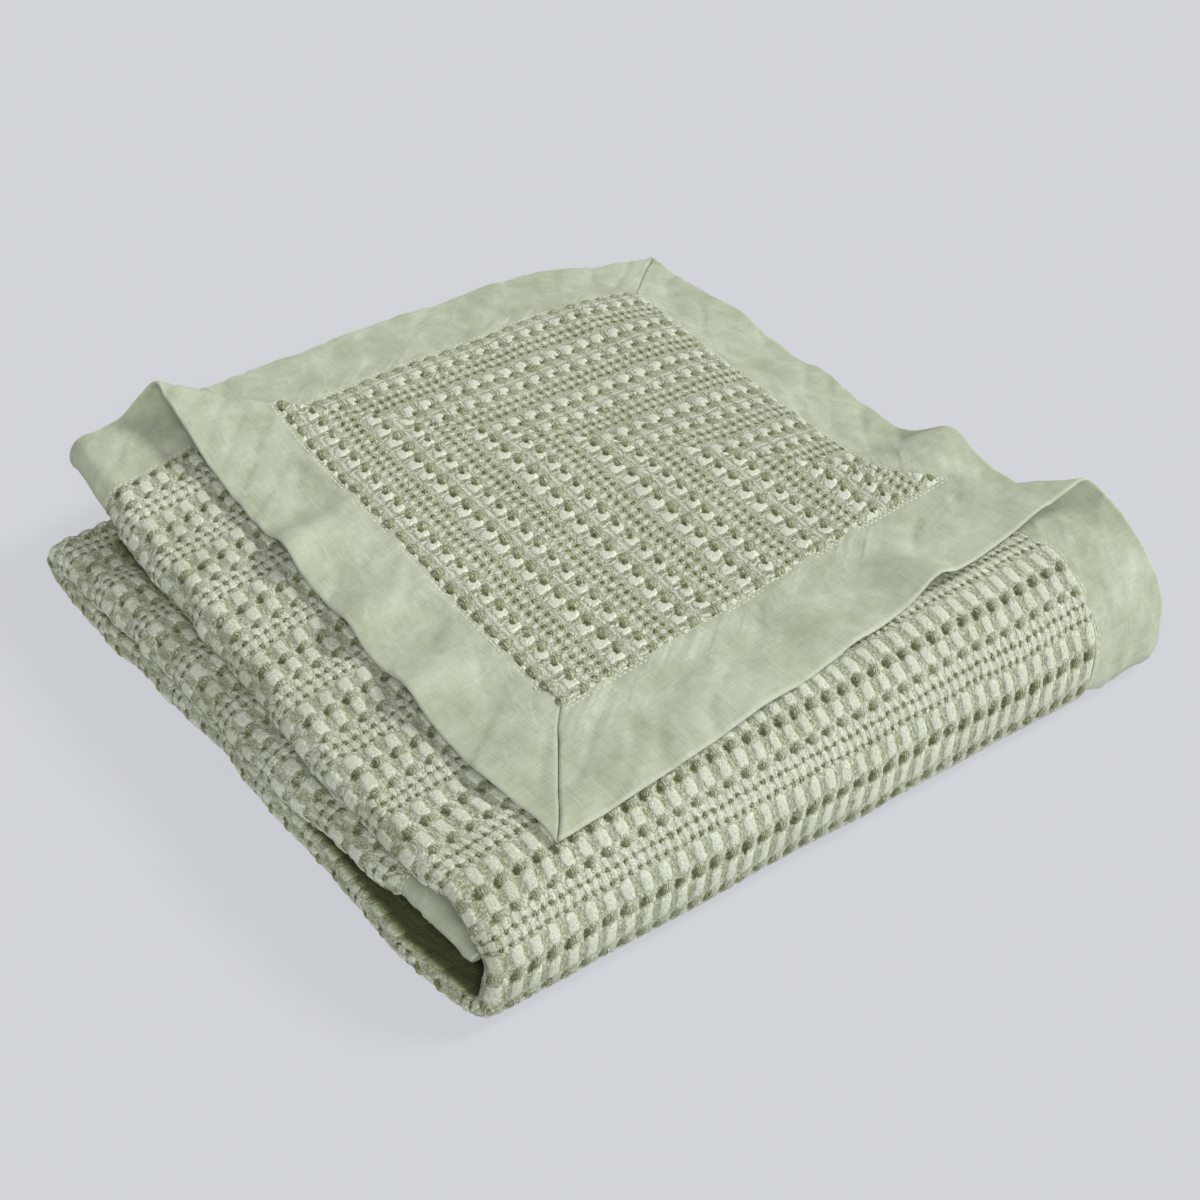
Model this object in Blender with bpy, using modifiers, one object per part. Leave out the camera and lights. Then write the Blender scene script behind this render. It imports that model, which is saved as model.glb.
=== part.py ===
"""A woven blanket with plain mitred borders, folded in half and then in three, with one corner turned over."""

import bmesh
import bpy
import numpy as np

# Sizes are in metres. Across, the flat cloth is measured from the left fold: the upper half is positive, the lower
# half negative. Along, it is measured from the head edge.
PANEL_THICK = 0.004
BORDER_THICK = 0.002
BORDER_WIDTH = 0.064
UPPER_WIDTH = 0.535
LOWER_WIDTH = 0.525
SEAM_GAP = 0.0005
HEAD_EDGE_Y = 0.530

# The way that the pair of halves takes through the pile, seen from the left end, from the head edge to the foot.
# A turn is in degrees, positive downwards, and is spread over the length.
START_HEADING = -3.0
FOLD_PATH = (
    # name, length, turn, divisions
    ("head_border", 0.064, 2.0, 3),
    ("top_back", 0.200, 1.5, 9),
    ("top_front", 0.205, 2.5, 9),
    ("shoulder", 0.062, 59.0, 5),
    ("front_face", 0.022, 30.0, 2),
    ("toe", 0.0154, 88.0, 5),
    ("bottom", 0.462, 0.0, 8),
    ("back_turn", 0.0424, 180.0, 8),
    ("middle", 0.386, 0.0, 7),
    ("foot_border", 0.064, 14.0, 3),
)
BOTTOM_ROW = 6
PATH_STEP = 0.0005

# The left fold at stations along the cloth: where it lies, the radius of its roll, half the distance between the
# two halves further in, the share by which the roll stays flush with the upper half, and the depth of a groove that
# parts the roll in two.
LEFT_FOLD = (
    ("along", "x", "roll", "half_gap", "flush", "groove"),
    (0.000, 0.017, 0.0090, 0.0036, 1.0, 0.0),
    (0.064, 0.014, 0.0115, 0.0036, 1.0, 0.0),
    (0.160, 0.010, 0.0125, 0.0036, 1.0, 0.0),
    (0.300, 0.007, 0.0115, 0.0036, 1.0, 0.0),
    (0.430, 0.006, 0.0095, 0.0036, 1.0, 0.0),
    (0.480, 0.016, 0.0085, 0.0036, 1.0, 0.0),
    (0.532, 0.014, 0.0075, 0.0036, 1.0, 0.0),
    (0.555, 0.004, 0.0052, 0.0036, 1.0, 0.0),
    (0.569, 0.000, 0.0048, 0.0040, 1.0, 0.0),
    (0.620, -0.008, 0.0064, 0.0050, 1.0, 0.0),
    (0.750, -0.009, 0.0088, 0.0050, 1.0, 0.0),
    (0.850, -0.010, 0.0090, 0.0050, 1.0, 0.0),
    (0.950, -0.020, 0.0090, 0.0050, 1.0, 0.0),
    (1.033, -0.022, 0.0074, 0.0050, 1.0, 0.0),
    (1.054, -0.024, 0.0062, 0.0050, 1.0, 0.0),
    (1.075, -0.022, 0.0080, 0.0050, 0.6, 0.0),
    (1.140, -0.020, 0.0135, 0.0060, -0.8, 0.0030),
    (1.240, -0.016, 0.0145, 0.0060, -0.9, 0.0045),
    (1.360, -0.010, 0.0125, 0.0060, -0.8, 0.0040),
    (1.430, 0.000, 0.0100, 0.0058, -0.3, 0.0015),
    (1.462, 0.006, 0.0088, 0.0055, 0.0, 0.0),
    (1.526, 0.011, 0.0028, 0.0022, 0.0, 0.0),
)
GROOVE_ANGLE = -0.35
GROOVE_WIDTH = 0.30
ROLL_FADE = 0.055
ROLL_LINES = (0.0, 0.0035, 0.0070, 0.0105, 0.0140, 0.0175, 0.0215, 0.0280, 0.0400, 0.0640)
ACROSS_STEP = 0.034
CUT_SNAP = 0.0006

# The corner of the upper half is turned over along a crease that runs at 45 degrees, CREASE from the left fold at
# the head edge. The crease is tight in the middle and open at the borders.
CREASE = 0.0725
CREASE_ROLL = (
    ("run", "radius"),
    (0.050, 0.0140),
    (0.120, 0.0085),
    (0.180, 0.0058),
    (0.260, 0.0040),
    (0.520, 0.0040),
    (0.600, 0.0060),
    (0.650, 0.0090),
    (0.720, 0.0155),
)
CREASE_LINES = (0.0031, 0.0062, 0.0095, 0.0130, 0.0180, 0.0230)
CREASE_FADE = 0.070
CORNER_SLIDE_ACROSS = -0.008
CORNER_SLIDE_ALONG = 0.027
CORNER_SLIDE_RUN = 0.320

# Ripples that lift the free edges of the turned corner.
HEAD_RIPPLES = (
    # across, half width, height
    (0.150, 0.025, 0.0030),
    (0.270, 0.017, 0.0105),
    (0.345, 0.015, 0.0080),
    (0.405, 0.017, 0.0095),
    (0.480, 0.020, 0.0030),
)
SIDE_RIPPLES = (
    # along, half width, height
    (0.060, 0.020, 0.0030),
    (0.150, 0.022, 0.0040),
    (0.225, 0.018, 0.0035),
    (0.305, 0.016, 0.0095),
    (0.400, 0.030, 0.0040),
)
RIPPLE_REACH = 0.038
RIPPLE_START = 0.030

# The free edge of the lower half sags at the right, behind the turned corner, and waves.
SAG = 0.014
SAG_PULL = 0.010
SAG_START = 0.400
SAG_WIDTH = 0.125
SAG_ALONG = 0.300
SAG_END = 0.120
EDGE_WAVES = (
    # along, half width, height
    (0.120, 0.030, 0.0040),
    (0.225, 0.022, 0.0050),
    (0.350, 0.024, 0.0170),
)
EDGE_WAVE_START = 0.440
EDGE_WAVE_WIDTH = 0.070

# The middle of the pile's box, and how the pile as a whole differs from square.
CENTRE_X = 0.2596
CENTRE_Y = 0.2594
PILE_HEIGHT = 0.0775
RIGHT_LEAN = 0.045
RIGHT_LEAN_RUN = 0.300
FRONT_SKEW = 0.055
FRONT_SKEW_TOP = 0.2
BACK_WAVES = (
    ("x", "shift"),
    (-0.03, -0.014),
    (0.04, -0.010),
    (0.11, 0.008),
    (0.24, 0.012),
    (0.37, 0.008),
    (0.45, -0.008),
    (0.56, -0.022),
)
BACK_LIMIT = 1.2
BACK_POWER = 3
HEIGHT_WAVES = (
    # share of the height, x waves a metre, y waves a metre, phase
    (0.040, 0.0, 1.0, -1.9),
    (0.012, 4.3, 2.2, 1.9),
    (0.010, 1.2, 5.1, 3.3),
)
LEFT_DROP = 0.10
LEFT_DROP_WIDTH = 0.060
HEAD_LIFT = 0.16
HEAD_LIFT_WIDTH = 0.110
HEAD_LIFT_Y = 0.410

PIECE_COLOURS = {
    "woven_panel": (0.62, 0.68, 0.54, 1.0),
    "head_border": (0.58, 0.64, 0.49, 1.0),
    "foot_border": (0.58, 0.64, 0.49, 1.0),
    "upper_side_border": (0.57, 0.63, 0.48, 1.0),
    "lower_side_border": (0.57, 0.63, 0.48, 1.0),
}
ROUGHNESS = 0.9

CLOTH_LENGTH = sum(row[1] for row in FOLD_PATH)


def smooth(value):
    value = np.clip(value, 0.0, 1.0)
    return value * value * (3.0 - 2.0 * value)


def column(table, name, value):
    """Reads a column of a table, by its name, at a value of the first column, with straight lines between rows."""
    index = table[0].index(name)
    return np.interp(value, [row[0] for row in table[1:]], [row[index] for row in table[1:]])


def fold_path():
    """Samples the path: distance along, y, z and heading, with the bottom layer's height set to rest on z = 0."""
    along = np.arange(0.0, CLOTH_LENGTH + PATH_STEP, PATH_STEP)
    ends = np.cumsum([0.0] + [row[1] for row in FOLD_PATH])
    headings = START_HEADING + np.cumsum([0.0] + [row[2] for row in FOLD_PATH])
    heading = np.radians(np.interp(along, ends, headings))
    middle = (heading[1:] + heading[:-1]) / 2.0
    y = HEAD_EDGE_Y - np.concatenate([[0.0], np.cumsum(np.cos(middle))]) * PATH_STEP
    z = -np.concatenate([[0.0], np.cumsum(np.sin(middle))]) * PATH_STEP
    bottom = ends[BOTTOM_ROW] + FOLD_PATH[BOTTOM_ROW][1] / 2.0
    rest = column(LEFT_FOLD, "half_gap", bottom) + PANEL_THICK / 2.0
    z += rest - np.interp(bottom, along, z)
    return along, y, z, heading


PATH = fold_path()


def turn_corner(across, along):
    """Turns the upper half's corner over its crease. Gives the new place on the flat cloth and the lift above it."""
    root = np.sqrt(2.0)
    run = (across + along) / root
    beyond = (across - along - CREASE) / root
    radius = column(CREASE_ROLL, "radius", run)
    tight = min(row[1] for row in CREASE_ROLL[1:])
    start = -np.pi * radius / 2.0
    turn = np.clip((beyond - start) / radius, 0.0, np.pi)
    past = beyond + start
    level = np.where(past > 0.0, -beyond, start + radius * np.sin(turn))
    level = np.where((beyond < start) | (across < 0.0), beyond, level)
    open_lift = 2.0 * (radius - tight) * np.exp(-np.clip(past, 0.0, 1.0) / CREASE_FADE)
    lift = np.where(past > 0.0, 2.0 * tight + open_lift, radius * (1.0 - np.cos(turn)))
    for table, place, edge in (
        (HEAD_RIPPLES, across, along),
        (SIDE_RIPPLES, along, UPPER_WIDTH - across),
    ):
        reach = np.exp(-((edge / RIPPLE_REACH) ** 2)) * smooth(past / RIPPLE_START)
        for centre, half, height in table:
            lift = lift + height * np.exp(-(((place - centre) / half) ** 2)) * reach
    flat = (beyond < start) | (across < 0.0)
    slide = np.where(flat, 0.0, smooth(past / CORNER_SLIDE_RUN))
    return (
        (root * run + CREASE + root * level) / 2.0 + CORNER_SLIDE_ACROSS * slide,
        (root * run - CREASE - root * level) / 2.0 + CORNER_SLIDE_ALONG * slide,
        np.where(flat, 0.0, lift),
    )


def place_in_pile(across, along, lift):
    """Takes the cloth along the fold path and round the left fold."""
    side = np.where(across < 0.0, -1.0, 1.0)
    roll = column(LEFT_FOLD, "roll", along)
    gap = column(LEFT_FOLD, "half_gap", along)
    shift = column(LEFT_FOLD, "flush", along) * (gap - roll)
    arc = np.pi * roll / 2.0
    past = np.abs(across) - arc
    angle = across / roll
    fade = 1.0 - smooth(past / ROLL_FADE)
    x = column(LEFT_FOLD, "x", along)
    x += np.where(past < 0.0, roll * (1.0 - np.cos(angle)), roll + past)
    x += column(LEFT_FOLD, "groove", along) * np.exp(-(((angle - GROOVE_ANGLE) / GROOVE_WIDTH) ** 2))
    inside = side * gap + (shift + side * (roll - gap)) * fade
    offset = np.where(past < 0.0, shift + roll * np.sin(angle), inside) + lift
    top_layer = 1.0 - smooth((along - SAG_ALONG) / SAG_END)
    sag = np.where(across < 0.0, smooth((-across - SAG_START) / SAG_WIDTH) * top_layer, 0.0)
    offset -= SAG * sag
    x -= SAG_PULL * sag
    edge = np.where(across < 0.0, smooth((-across - EDGE_WAVE_START) / EDGE_WAVE_WIDTH), 0.0)
    for centre, half, rise in EDGE_WAVES:
        offset += rise * np.exp(-(((along - centre) / half) ** 2)) * edge
    heading = np.interp(along, PATH[0], PATH[3])
    y = np.interp(along, PATH[0], PATH[1]) - offset * np.sin(heading)
    z = np.interp(along, PATH[0], PATH[2]) + offset * np.cos(heading)
    return x, y, z


def settle(x, y, z):
    """Leans, skews and waves the whole pile, and leaves its flat underside at z = 0."""
    share = z / PILE_HEIGHT
    height = 1.0 - LEFT_DROP * np.exp(-((np.clip(x, 0.0, 1.0) / LEFT_DROP_WIDTH) ** 2))
    for amount, x_waves, y_waves, phase in HEIGHT_WAVES:
        height = height + amount * np.sin(2.0 * np.pi * (x_waves * x + y_waves * y) + phase)
    left = np.exp(-((np.clip(x, 0.0, 1.0) / HEAD_LIFT_WIDTH) ** 2))
    height = height + HEAD_LIFT * left * smooth((y - HEAD_LIFT_Y) / (HEAD_EDGE_Y - HEAD_LIFT_Y))
    back = np.clip(y / HEAD_EDGE_Y, 0.0, BACK_LIMIT)
    leant = x * (1.0 - RIGHT_LEAN * (1.0 - share) * smooth(x / RIGHT_LEAN_RUN))
    skew = FRONT_SKEW * x * (1.0 - back) * (1.0 - (1.0 - FRONT_SKEW_TOP) * share)
    skewed = y - skew + column(BACK_WAVES, "shift", x) * back**BACK_POWER
    base = PANEL_THICK / 2.0
    return leant - CENTRE_X, skewed - CENTRE_Y, base + (z - base) * height


def folded(across, along):
    """Where a point of the flat cloth lies in the folded pile."""
    across, along, lift = turn_corner(np.asarray(across, float), np.asarray(along, float))
    return settle(*place_in_pile(across, along, lift))


def outlines():
    """The flat outline of each piece, half a seam inside its share of the cloth."""
    low, high = -LOWER_WIDTH, UPPER_WIDTH
    in_low, in_high = low + BORDER_WIDTH, high - BORDER_WIDTH
    head, foot = BORDER_WIDTH, CLOTH_LENGTH - BORDER_WIDTH
    seam = SEAM_GAP / 2.0
    return {
        "woven_panel": (
            (in_low + seam, head + seam),
            (in_high - seam, head + seam),
            (in_high - seam, foot - seam),
            (in_low + seam, foot - seam),
        ),
        "head_border": (
            (low + SEAM_GAP, 0.0),
            (high - SEAM_GAP, 0.0),
            (in_high - SEAM_GAP, head - seam),
            (in_low + SEAM_GAP, head - seam),
        ),
        "foot_border": (
            (in_low + SEAM_GAP, foot + seam),
            (in_high - SEAM_GAP, foot + seam),
            (high - SEAM_GAP, CLOTH_LENGTH),
            (low + SEAM_GAP, CLOTH_LENGTH),
        ),
        "upper_side_border": (
            (in_high + seam, head + seam),
            (high, seam),
            (high, CLOTH_LENGTH - seam),
            (in_high + seam, foot - seam),
        ),
        "lower_side_border": (
            (low, seam),
            (in_low - seam, head + seam),
            (in_low - seam, foot - seam),
            (low, CLOTH_LENGTH - seam),
        ),
    }


def cut(mesh, faces, point, normal):
    """Adds a straight line of vertices across the given faces."""
    edges = {edge for face in faces for edge in face.edges}
    corners = {corner for face in faces for corner in face.verts}
    geometry = [*faces, *edges, *corners]
    bmesh.ops.bisect_plane(mesh, geom=geometry, dist=CUT_SNAP, plane_co=point, plane_no=normal)


def lay_out(name, outline):
    """Makes a piece flat, with the lines that its folds need."""
    mesh = bmesh.new()
    mesh.faces.new([mesh.verts.new((x, y, 0.0)) for x, y in outline])
    start = 0.0
    for _, length, _, divisions in FOLD_PATH:
        for step in range(divisions):
            cut(mesh, mesh.faces[:], (0.0, start + length * step / divisions, 0.0), (0.0, 1.0, 0.0))
        start += length
    across_lines = [side * line for line in ROLL_LINES for side in (-1.0, 1.0)]
    far = np.arange(ROLL_LINES[-1] + ACROSS_STEP, UPPER_WIDTH, ACROSS_STEP)
    across_lines += [side * line for line in far for side in (-1.0, 1.0)]
    for line in across_lines:
        cut(mesh, mesh.faces[:], (line, 0.0, 0.0), (1.0, 0.0, 0.0))
    for line in (0.0, *CREASE_LINES, *(-line for line in CREASE_LINES)):
        near = [f for f in mesh.faces if crosses(f, line)]
        if near:
            point = (CREASE + line * np.sqrt(2.0), 0.0, 0.0)
            cut(mesh, near, point, (1.0, -1.0, 0.0))
    bmesh.ops.triangulate(mesh, faces=mesh.faces[:])
    data = bpy.data.meshes.new(name)
    mesh.to_mesh(data)
    mesh.free()
    return data


def crosses(face, line):
    """Whether a line along the crease goes through a face of the upper half."""
    if face.calc_center_median().x < 0.0:
        return False
    sides = [(v.co.x - v.co.y - CREASE) / np.sqrt(2.0) - line for v in face.verts]
    return min(sides) < 0.0 < max(sides)


def fold_piece(data):
    flat = np.empty(len(data.vertices) * 3)
    data.vertices.foreach_get("co", flat)
    flat = flat.reshape(-1, 3)
    x, y, z = folded(flat[:, 0], flat[:, 1])
    data.vertices.foreach_set("co", np.stack([x, y, z], axis=1).ravel())
    data.update()


def material(name, colour):
    made = bpy.data.materials.new(name)
    made.use_nodes = True
    shader = made.node_tree.nodes["Principled BSDF"]
    shader.inputs["Base Color"].default_value = colour
    shader.inputs["Roughness"].default_value = ROUGHNESS
    made.diffuse_color = colour
    return made


def make_piece(name, outline, collection):
    data = lay_out(name, outline)
    fold_piece(data)
    data.materials.append(material(name + "_cloth", PIECE_COLOURS[name]))
    piece = bpy.data.objects.new(name, data)
    collection.objects.link(piece)
    shell = piece.modifiers.new("thickness", "SOLIDIFY")
    shell.thickness = PANEL_THICK if name == "woven_panel" else BORDER_THICK
    shell.offset = 0.0
    shell.use_quality_normals = True
    return piece


def main():
    for old in list(bpy.data.objects):
        bpy.data.objects.remove(old, do_unlink=True)
    collection = bpy.data.collections.new("folded_blanket")
    bpy.context.scene.collection.children.link(collection)
    for name, outline in outlines().items():
        make_piece(name, outline, collection)


main()
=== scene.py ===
"""The looks of the folded woven blanket: raised weave, borders, topstitching, floor, light and camera."""

import math

import bpy
import numpy as np
from mathutils import Matrix, Vector


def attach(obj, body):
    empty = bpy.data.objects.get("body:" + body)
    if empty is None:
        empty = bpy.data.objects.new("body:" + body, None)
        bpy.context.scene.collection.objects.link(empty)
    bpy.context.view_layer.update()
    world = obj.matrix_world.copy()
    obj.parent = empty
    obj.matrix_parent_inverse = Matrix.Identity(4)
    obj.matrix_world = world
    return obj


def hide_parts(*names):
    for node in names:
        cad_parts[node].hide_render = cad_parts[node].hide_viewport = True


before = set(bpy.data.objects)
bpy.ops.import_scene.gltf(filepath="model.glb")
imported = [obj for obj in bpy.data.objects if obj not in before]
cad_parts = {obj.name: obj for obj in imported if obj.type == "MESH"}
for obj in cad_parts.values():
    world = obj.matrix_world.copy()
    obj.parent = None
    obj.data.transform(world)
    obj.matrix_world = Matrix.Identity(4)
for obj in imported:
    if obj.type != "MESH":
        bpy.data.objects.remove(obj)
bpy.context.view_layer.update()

# The folded shape. Its sizes are those of the CAD part, in metres. Across, the flat cloth is measured from
# the left fold: the upper half is positive, the lower half negative. Along, it is measured from the head
# edge.
PANEL_THICK = 0.004
BORDER_WIDTH = 0.064
UPPER_WIDTH = 0.535
LOWER_WIDTH = 0.525
HEAD_EDGE_Y = 0.530
START_HEADING = -3.0
FOLD_PATH = (
    # length, turn in degrees
    (0.064, 2.0),
    (0.200, 1.5),
    (0.205, 2.5),
    (0.062, 59.0),
    (0.022, 30.0),
    (0.0154, 88.0),
    (0.462, 0.0),
    (0.0424, 180.0),
    (0.386, 0.0),
    (0.064, 14.0),
)
BOTTOM_ROW = 6
PATH_STEP = 0.0005
LEFT_FOLD = (
    ("along", "x", "roll", "half_gap", "flush", "groove"),
    (0.000, 0.017, 0.0090, 0.0036, 1.0, 0.0),
    (0.064, 0.014, 0.0115, 0.0036, 1.0, 0.0),
    (0.160, 0.010, 0.0125, 0.0036, 1.0, 0.0),
    (0.300, 0.007, 0.0115, 0.0036, 1.0, 0.0),
    (0.430, 0.006, 0.0095, 0.0036, 1.0, 0.0),
    (0.480, 0.016, 0.0085, 0.0036, 1.0, 0.0),
    (0.532, 0.014, 0.0075, 0.0036, 1.0, 0.0),
    (0.555, 0.004, 0.0052, 0.0036, 1.0, 0.0),
    (0.569, 0.000, 0.0048, 0.0040, 1.0, 0.0),
    (0.620, -0.008, 0.0064, 0.0050, 1.0, 0.0),
    (0.750, -0.009, 0.0088, 0.0050, 1.0, 0.0),
    (0.850, -0.010, 0.0090, 0.0050, 1.0, 0.0),
    (0.950, -0.020, 0.0090, 0.0050, 1.0, 0.0),
    (1.033, -0.022, 0.0074, 0.0050, 1.0, 0.0),
    (1.054, -0.024, 0.0062, 0.0050, 1.0, 0.0),
    (1.075, -0.022, 0.0080, 0.0050, 0.6, 0.0),
    (1.140, -0.020, 0.0135, 0.0060, -0.8, 0.0030),
    (1.240, -0.016, 0.0145, 0.0060, -0.9, 0.0045),
    (1.360, -0.010, 0.0125, 0.0060, -0.8, 0.0040),
    (1.430, 0.000, 0.0100, 0.0058, -0.3, 0.0015),
    (1.462, 0.006, 0.0088, 0.0055, 0.0, 0.0),
    (1.526, 0.011, 0.0028, 0.0022, 0.0, 0.0),
)
GROOVE_ANGLE = -0.35
GROOVE_WIDTH = 0.30
ROLL_FADE = 0.055
CREASE = 0.0725
CREASE_ROLL = (
    ("run", "radius"),
    (0.050, 0.0140),
    (0.120, 0.0085),
    (0.180, 0.0058),
    (0.260, 0.0040),
    (0.520, 0.0040),
    (0.600, 0.0060),
    (0.650, 0.0090),
    (0.720, 0.0155),
)
CREASE_FADE = 0.070
CORNER_SLIDE_ACROSS = -0.008
CORNER_SLIDE_ALONG = 0.027
CORNER_SLIDE_RUN = 0.320
HEAD_RIPPLES = (
    # across, half width, height
    (0.150, 0.025, 0.0030),
    (0.270, 0.017, 0.0105),
    (0.345, 0.015, 0.0080),
    (0.405, 0.017, 0.0095),
    (0.480, 0.020, 0.0030),
)
SIDE_RIPPLES = (
    # along, half width, height
    (0.060, 0.020, 0.0030),
    (0.150, 0.022, 0.0040),
    (0.225, 0.018, 0.0035),
    (0.305, 0.016, 0.0095),
    (0.400, 0.030, 0.0040),
)
RIPPLE_REACH = 0.038
RIPPLE_START = 0.030
SAG = 0.014
SAG_PULL = 0.010
SAG_START = 0.400
SAG_WIDTH = 0.125
SAG_ALONG = 0.300
SAG_END = 0.120
EDGE_WAVES = (
    # along, half width, height
    (0.120, 0.030, 0.0040),
    (0.225, 0.022, 0.0050),
    (0.350, 0.024, 0.0170),
)
EDGE_WAVE_START = 0.440
EDGE_WAVE_WIDTH = 0.070
CENTRE_X = 0.2596
CENTRE_Y = 0.2594
PILE_HEIGHT = 0.0775
RIGHT_LEAN = 0.045
RIGHT_LEAN_RUN = 0.300
FRONT_SKEW = 0.055
FRONT_SKEW_TOP = 0.2
BACK_WAVES = (
    ("x", "shift"),
    (-0.03, -0.014),
    (0.04, -0.010),
    (0.11, 0.008),
    (0.24, 0.012),
    (0.37, 0.008),
    (0.45, -0.008),
    (0.56, -0.022),
)
BACK_LIMIT = 1.2
BACK_POWER = 3
HEIGHT_WAVES = (
    # share of the height, x waves a metre, y waves a metre, phase
    (0.040, 0.0, 1.0, -1.9),
    (0.012, 4.3, 2.2, 1.9),
    (0.010, 1.2, 5.1, 3.3),
)
LEFT_DROP = 0.10
LEFT_DROP_WIDTH = 0.060
HEAD_LIFT = 0.16
HEAD_LIFT_WIDTH = 0.110
HEAD_LIFT_Y = 0.410

CLOTH_LENGTH = sum(row[0] for row in FOLD_PATH)
IN_LOW = BORDER_WIDTH - LOWER_WIDTH
IN_HIGH = UPPER_WIDTH - BORDER_WIDTH
HEAD = BORDER_WIDTH
FOOT = CLOTH_LENGTH - BORDER_WIDTH


def smooth(value):
    value = np.clip(value, 0.0, 1.0)
    return value * value * (3.0 - 2.0 * value)


def column(table, name, value):
    """Reads a named column of a table at a value of its first column, in straight lines between rows."""
    index = table[0].index(name)
    return np.interp(value, [row[0] for row in table[1:]], [row[index] for row in table[1:]])


def fold_path():
    """Samples the path: distance along, y, z and heading, with the bottom layer resting on z = 0."""
    along = np.arange(0.0, CLOTH_LENGTH + PATH_STEP, PATH_STEP)
    ends = np.cumsum([0.0] + [row[0] for row in FOLD_PATH])
    headings = START_HEADING + np.cumsum([0.0] + [row[1] for row in FOLD_PATH])
    heading = np.radians(np.interp(along, ends, headings))
    middle = (heading[1:] + heading[:-1]) / 2.0
    y = HEAD_EDGE_Y - np.concatenate([[0.0], np.cumsum(np.cos(middle))]) * PATH_STEP
    z = -np.concatenate([[0.0], np.cumsum(np.sin(middle))]) * PATH_STEP
    bottom = ends[BOTTOM_ROW] + FOLD_PATH[BOTTOM_ROW][0] / 2.0
    rest = column(LEFT_FOLD, "half_gap", bottom) + PANEL_THICK / 2.0
    z += rest - np.interp(bottom, along, z)
    return along, y, z, heading


PATH = fold_path()


def turn_corner(across, along):
    """Turns the upper half's corner over its crease. Gives its new place on the flat cloth and its lift."""
    root = np.sqrt(2.0)
    run = (across + along) / root
    beyond = (across - along - CREASE) / root
    radius = column(CREASE_ROLL, "radius", run)
    tight = min(row[1] for row in CREASE_ROLL[1:])
    start = -np.pi * radius / 2.0
    turn = np.clip((beyond - start) / radius, 0.0, np.pi)
    past = beyond + start
    level = np.where(past > 0.0, -beyond, start + radius * np.sin(turn))
    level = np.where((beyond < start) | (across < 0.0), beyond, level)
    open_lift = 2.0 * (radius - tight) * np.exp(-np.clip(past, 0.0, 1.0) / CREASE_FADE)
    lift = np.where(past > 0.0, 2.0 * tight + open_lift, radius * (1.0 - np.cos(turn)))
    for table, place, edge in (
        (HEAD_RIPPLES, across, along),
        (SIDE_RIPPLES, along, UPPER_WIDTH - across),
    ):
        reach = np.exp(-((edge / RIPPLE_REACH) ** 2)) * smooth(past / RIPPLE_START)
        for centre, half, height in table:
            lift = lift + height * np.exp(-(((place - centre) / half) ** 2)) * reach
    flat = (beyond < start) | (across < 0.0)
    slide = np.where(flat, 0.0, smooth(past / CORNER_SLIDE_RUN))
    return (
        (root * run + CREASE + root * level) / 2.0 + CORNER_SLIDE_ACROSS * slide,
        (root * run - CREASE - root * level) / 2.0 + CORNER_SLIDE_ALONG * slide,
        np.where(flat, 0.0, lift),
    )


def place_in_pile(across, along, lift):
    """Takes the cloth along the fold path and round the left fold."""
    side = np.where(across < 0.0, -1.0, 1.0)
    roll = column(LEFT_FOLD, "roll", along)
    gap = column(LEFT_FOLD, "half_gap", along)
    shift = column(LEFT_FOLD, "flush", along) * (gap - roll)
    arc = np.pi * roll / 2.0
    past = np.abs(across) - arc
    angle = across / roll
    fade = 1.0 - smooth(past / ROLL_FADE)
    x = column(LEFT_FOLD, "x", along)
    x += np.where(past < 0.0, roll * (1.0 - np.cos(angle)), roll + past)
    x += column(LEFT_FOLD, "groove", along) * np.exp(-(((angle - GROOVE_ANGLE) / GROOVE_WIDTH) ** 2))
    inside = side * gap + (shift + side * (roll - gap)) * fade
    offset = np.where(past < 0.0, shift + roll * np.sin(angle), inside) + lift
    top_layer = 1.0 - smooth((along - SAG_ALONG) / SAG_END)
    sag = np.where(across < 0.0, smooth((-across - SAG_START) / SAG_WIDTH) * top_layer, 0.0)
    offset -= SAG * sag
    x -= SAG_PULL * sag
    edge = np.where(across < 0.0, smooth((-across - EDGE_WAVE_START) / EDGE_WAVE_WIDTH), 0.0)
    for centre, half, rise in EDGE_WAVES:
        offset += rise * np.exp(-(((along - centre) / half) ** 2)) * edge
    heading = np.interp(along, PATH[0], PATH[3])
    y = np.interp(along, PATH[0], PATH[1]) - offset * np.sin(heading)
    z = np.interp(along, PATH[0], PATH[2]) + offset * np.cos(heading)
    return x, y, z


def settle(x, y, z):
    """Leans, skews and waves the whole pile, and leaves its flat underside at z = 0."""
    share = z / PILE_HEIGHT
    height = 1.0 - LEFT_DROP * np.exp(-((np.clip(x, 0.0, 1.0) / LEFT_DROP_WIDTH) ** 2))
    for amount, x_waves, y_waves, phase in HEIGHT_WAVES:
        height = height + amount * np.sin(2.0 * np.pi * (x_waves * x + y_waves * y) + phase)
    left = np.exp(-((np.clip(x, 0.0, 1.0) / HEAD_LIFT_WIDTH) ** 2))
    height = height + HEAD_LIFT * left * smooth((y - HEAD_LIFT_Y) / (HEAD_EDGE_Y - HEAD_LIFT_Y))
    back = np.clip(y / HEAD_EDGE_Y, 0.0, BACK_LIMIT)
    leant = x * (1.0 - RIGHT_LEAN * (1.0 - share) * smooth(x / RIGHT_LEAN_RUN))
    skew = FRONT_SKEW * x * (1.0 - back) * (1.0 - (1.0 - FRONT_SKEW_TOP) * share)
    skewed = y - skew + column(BACK_WAVES, "shift", x) * back**BACK_POWER
    base = PANEL_THICK / 2.0
    return leant - CENTRE_X, skewed - CENTRE_Y, base + (z - base) * height


def folded(across, along):
    """Where a point of the flat cloth lies in the folded pile."""
    across, along, lift = turn_corner(np.asarray(across, float), np.asarray(along, float))
    return np.stack(settle(*place_in_pile(across, along, lift)), axis=-1)


NORMAL_STEP = 0.0008


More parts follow.
